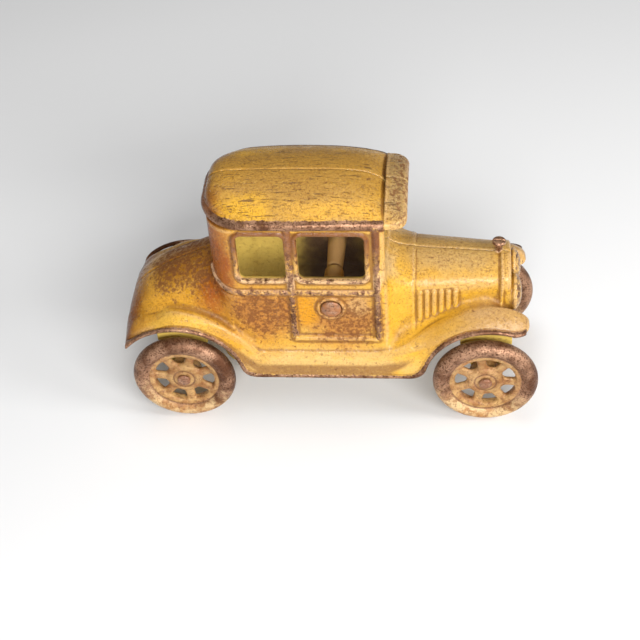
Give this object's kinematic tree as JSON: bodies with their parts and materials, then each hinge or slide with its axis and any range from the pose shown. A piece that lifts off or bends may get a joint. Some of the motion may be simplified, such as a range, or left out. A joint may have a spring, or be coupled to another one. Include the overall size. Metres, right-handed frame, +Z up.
{
  "type": "cast iron toy car",
  "caption": "Hollow cast toy coupe in two riveted halves with swept fenders, running boards, visor roof and drum lamps, rolling on spoked one-piece wheels on loose axles.",
  "frame": {"origin": "centre of the bounding box on the ground plane, midway between the wheels of the two sides", "axes": "+X to the front of the car, +Y to its left side, +Z up"},
  "size_m": [0.1626, 0.0582, 0.1043],
  "materials": {
    "worn_yellow_paint": "worn yellow paint over brown iron",
    "rivet_iron": "worn bare iron",
    "axle_steel": "rusted steel",
    "wheel_iron": "rusted bare iron with remains of paint"
  },
  "bodies": {
    "body": {"body_half_right": "worn_yellow_paint", "body_half_left": "worn_yellow_paint", "body_rivet": "rivet_iron"},
    "front_axle_rod": {"front_axle": "axle_steel"},
    "rear_axle_rod": {"rear_axle": "axle_steel"},
    "front_right_wheel": {"wheel_front_right": "wheel_iron"},
    "front_left_wheel": {"wheel_front_left": "wheel_iron"},
    "rear_right_wheel": {"wheel_rear_right": "wheel_iron"},
    "rear_left_wheel": {"wheel_rear_left": "wheel_iron"}
  },
  "joints": [
    {"name": "front_axle_turn", "type": "hinge", "parent": "body", "child": "front_axle_rod", "pos_m": [0.0608, 0, 0.0205], "axis": [0, 1, 0], "continuous": true},
    {"name": "rear_axle_turn", "type": "hinge", "parent": "body", "child": "rear_axle_rod", "pos_m": [-0.0582, 0, 0.0205], "axis": [0, 1, 0], "continuous": true},
    {"name": "front_right_spin", "type": "hinge", "parent": "front_axle_rod", "child": "front_right_wheel", "pos_m": [0.0608, -0.0257, 0.0205], "axis": [0, 1, 0], "continuous": true},
    {"name": "front_left_spin", "type": "hinge", "parent": "front_axle_rod", "child": "front_left_wheel", "pos_m": [0.0608, 0.0257, 0.0205], "axis": [0, 1, 0], "continuous": true},
    {"name": "rear_right_spin", "type": "hinge", "parent": "rear_axle_rod", "child": "rear_right_wheel", "pos_m": [-0.0582, -0.0257, 0.0205], "axis": [0, 1, 0], "continuous": true},
    {"name": "rear_left_spin", "type": "hinge", "parent": "rear_axle_rod", "child": "rear_left_wheel", "pos_m": [-0.0582, 0.0257, 0.0205], "axis": [0, 1, 0], "continuous": true}
  ]
}
